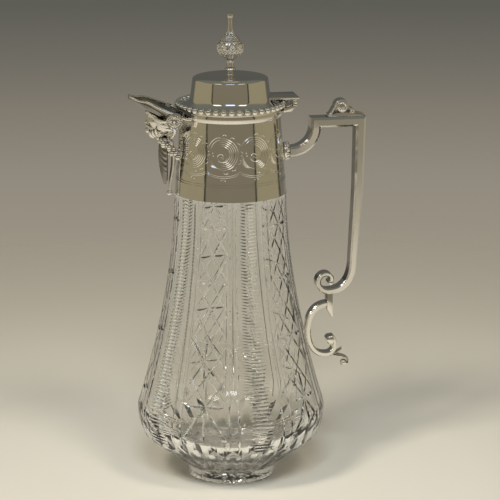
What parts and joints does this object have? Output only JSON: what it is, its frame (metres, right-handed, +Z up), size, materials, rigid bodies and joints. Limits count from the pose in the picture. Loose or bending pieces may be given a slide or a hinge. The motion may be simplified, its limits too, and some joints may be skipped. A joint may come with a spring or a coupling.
{
  "type": "claret jug",
  "caption": "Tall cut-glass claret jug with a plated collar, mask spout, scrolled strap handle and a hinged domed lid.",
  "frame": {"origin": "centre of the foot, on the surface the jug stands on", "axes": "+Z up along the axis of the jug, +X towards the handle, -X towards the spout"},
  "size_m": [0.147, 0.1172, 0.292],
  "materials": {
    "glass": "polished cut glass",
    "silver_plate": "polished silver plate",
    "silver_cast": "cast and chased silver plate",
    "cement": "matt plaster",
    "screw_brass": "turned brass"
  },
  "bodies": {
    "jug": {"glass_body": "glass", "neck_cement": "cement", "collar_band": "silver_plate", "collar_rim": "silver_plate", "spout_lip": "silver_plate", "mask_head": "silver_cast", "beard_pendant": "silver_cast", "grape_bunch_near": "silver_cast", "grape_bunch_far": "silver_cast", "handle_ferrule": "silver_cast", "handle_arm": "silver_plate", "handle_grip": "silver_plate", "handle_lower_scroll": "silver_plate", "handle_leaf": "silver_cast", "thumb_scroll": "silver_cast", "hinge_collar_leaf": "silver_plate", "hinge_pin": "silver_plate"},
    "lid": {"lid_dome": "silver_plate", "lid_bead_border": "silver_plate", "lid_bezel": "silver_plate", "lid_hinge_leaf": "silver_plate", "finial": "silver_cast", "finial_stud": "screw_brass", "finial_washer": "screw_brass", "finial_nut": "screw_brass"}
  },
  "joints": [
    {"name": "lid_hinge", "type": "hinge", "parent": "jug", "child": "lid", "pos_m": [0.039, 0, 0.2375], "axis": [0, 1, 0], "range_deg": [0, 105]}
  ]
}
